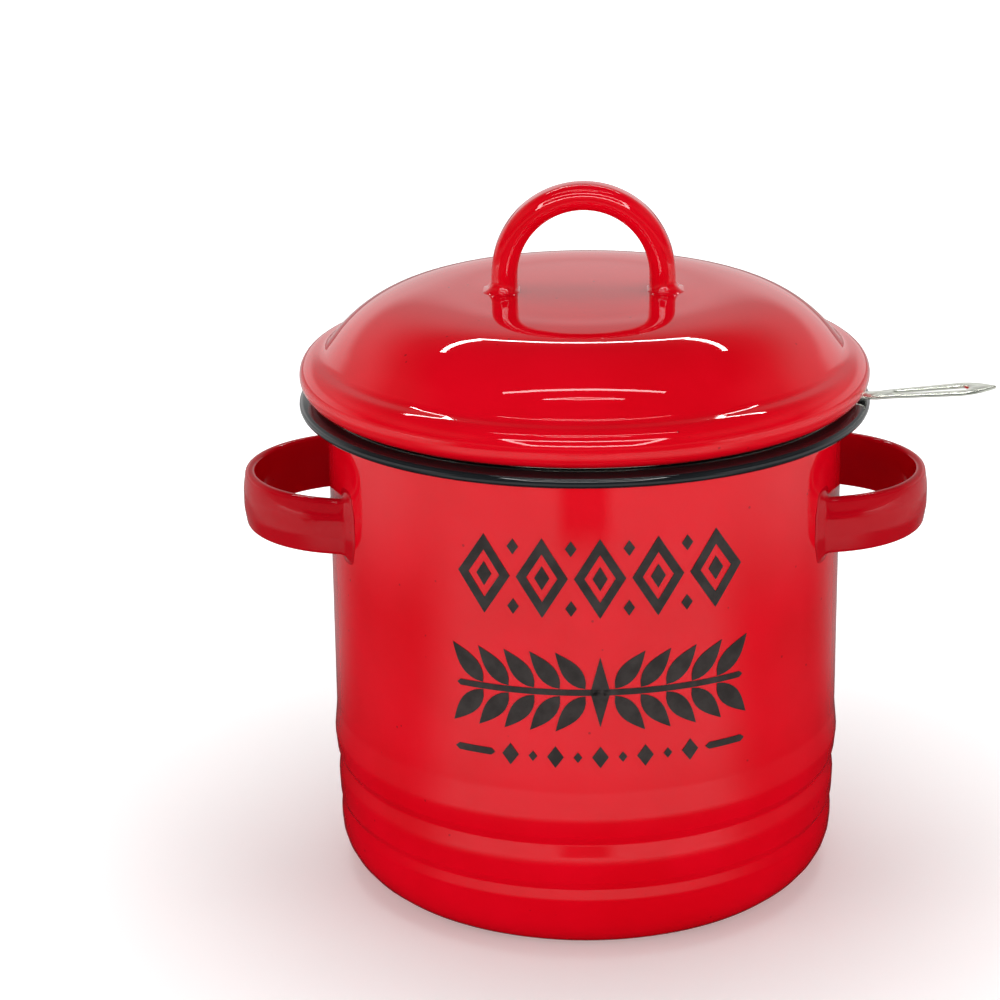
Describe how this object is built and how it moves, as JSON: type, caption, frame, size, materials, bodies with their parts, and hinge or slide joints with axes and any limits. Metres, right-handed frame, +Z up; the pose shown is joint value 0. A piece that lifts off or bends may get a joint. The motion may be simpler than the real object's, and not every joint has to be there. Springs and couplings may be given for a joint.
{
  "type": "bacon grease container",
  "caption": "Round enamelled steel pot with two ear handles, a lift-off domed lid and a lift-out steel strainer for saved cooking grease.",
  "frame": {"origin": "the pot's axis at the plane that its base stands on", "axes": "+Z up along the pot's axis; +X through the right ear, on the side that the strainer's handle points to; -Y is the side seen in the picture"},
  "size_m": [0.1821, 0.1386, 0.1738],
  "materials": {
    "pot_enamel": "glossy red enamel outside, black enamel on the rim and inside",
    "red_enamel": "glossy red enamel",
    "stainless": "polished stainless steel",
    "stainless_screen": "polished and slotted"
  },
  "bodies": {
    "pot": {"pot_shell": "pot_enamel", "left_ear": "red_enamel", "right_ear": "red_enamel"},
    "strainer": {"strainer_bowl": "stainless", "strainer_screen": "stainless_screen", "strainer_handle": "stainless"},
    "lid": {"lid_shell": "red_enamel", "lid_skirt": "red_enamel", "lid_handle": "red_enamel"}
  },
  "joints": [
    {"name": "strainer_lift", "type": "slide", "parent": "pot", "child": "strainer", "axis": [0, 0, 1], "range_m": [0, 0.02]},
    {"name": "lid_lift", "type": "slide", "parent": "strainer", "child": "lid", "axis": [0, 0, 1], "range_m": [0, 0.0197]}
  ]
}
